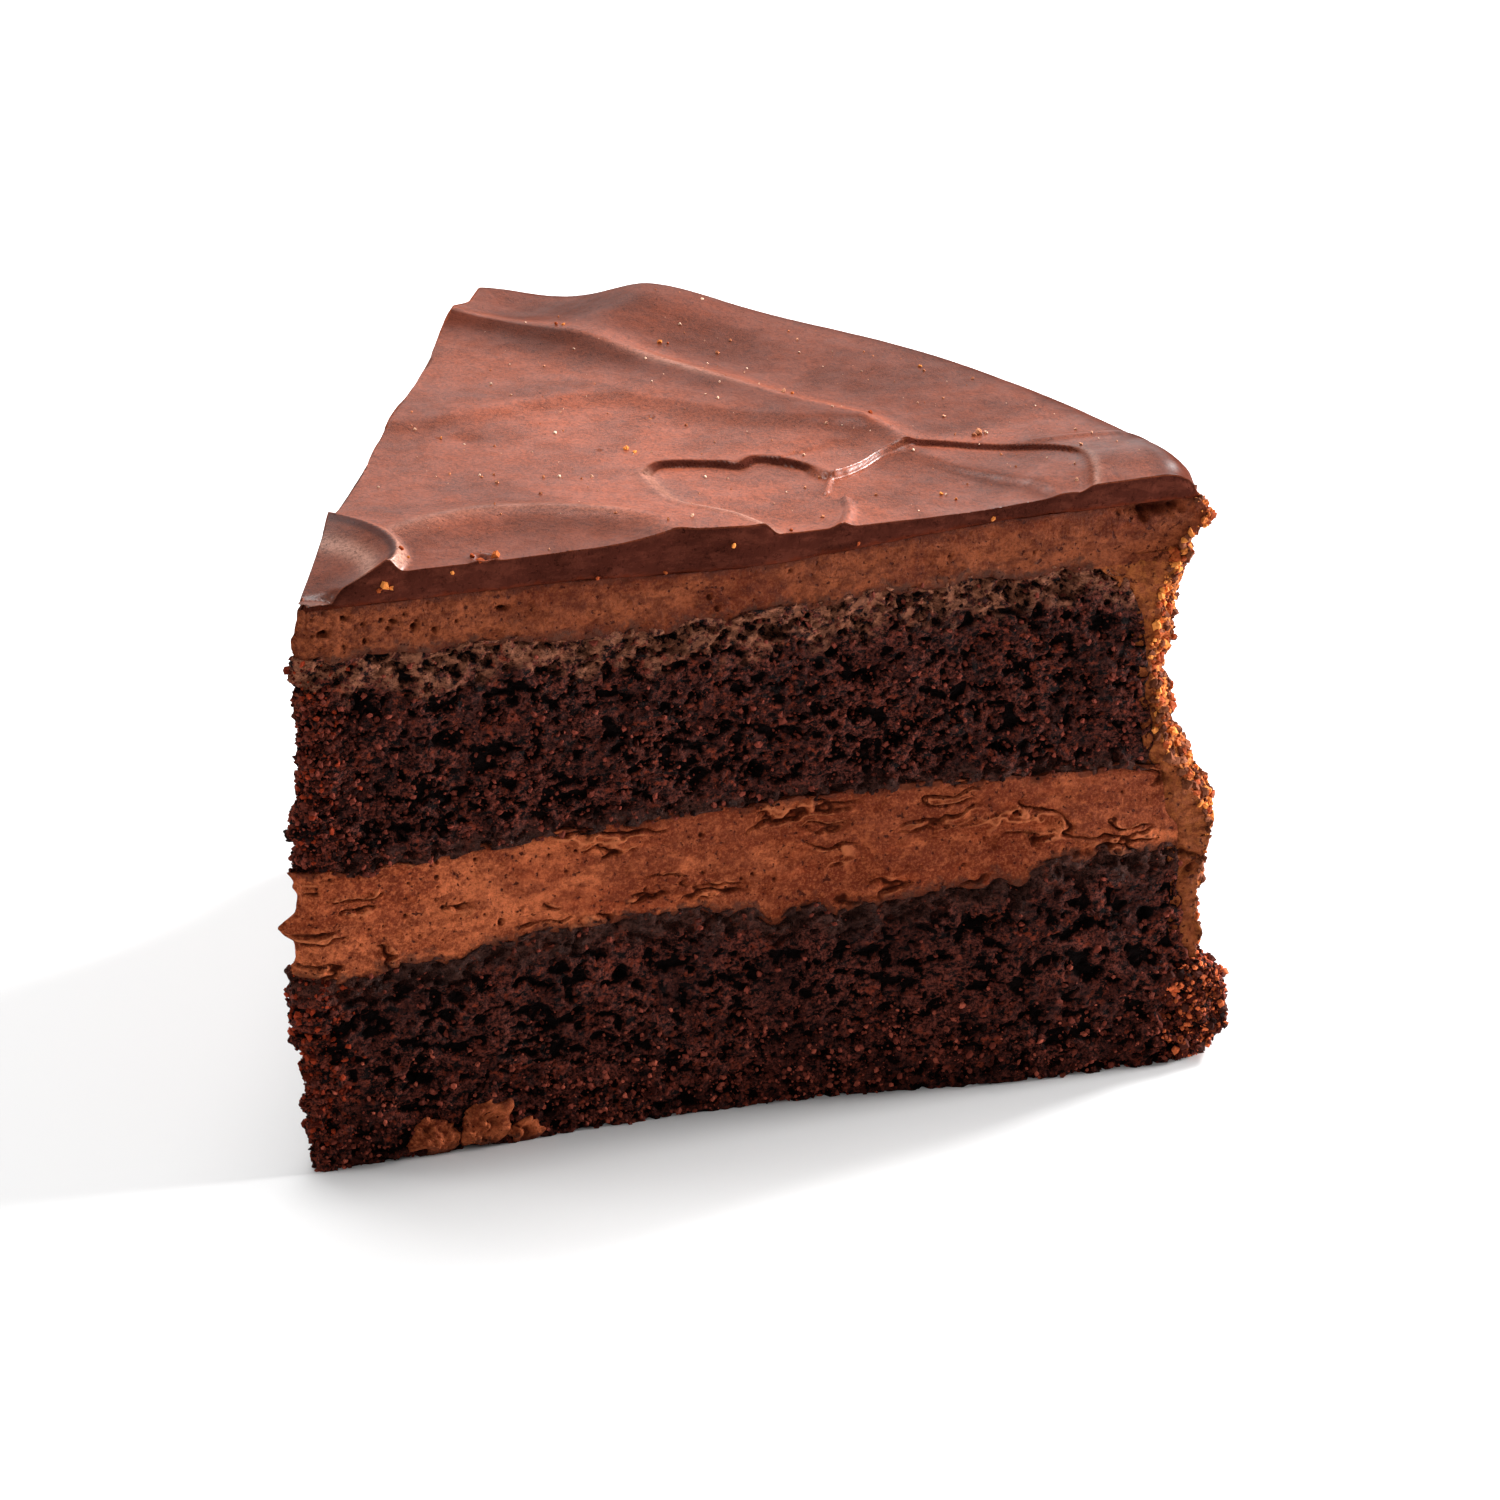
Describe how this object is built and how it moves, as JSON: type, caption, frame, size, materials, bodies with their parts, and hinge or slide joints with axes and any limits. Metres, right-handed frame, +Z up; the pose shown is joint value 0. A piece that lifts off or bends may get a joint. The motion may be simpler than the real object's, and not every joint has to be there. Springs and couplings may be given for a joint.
{
  "type": "slice of chocolate cake",
  "caption": "Wedge of layered chocolate cake: dark sponges with a cream filling, frosting over top and side, and a smooth ganache spread with palette-knife marks.",
  "frame": {"origin": "centre of the footprint's box, on the surface the slice stands on", "axes": "+Z up; the point of the slice towards -X and the rim towards +X; the front cut faces -Y and runs along X"},
  "size_m": [0.1207, 0.1129, 0.0805],
  "materials": {
    "sponge": "open dark crumb",
    "filling": "matt whipped cream with small pores",
    "frosting": "matt whipped cream with small pores",
    "ganache": "satin"
  },
  "bodies": {
    "root": {"sponge_lower": "sponge", "filling": "filling", "sponge_upper": "sponge", "frosting": "frosting", "ganache": "ganache"}
  },
  "joints": []
}
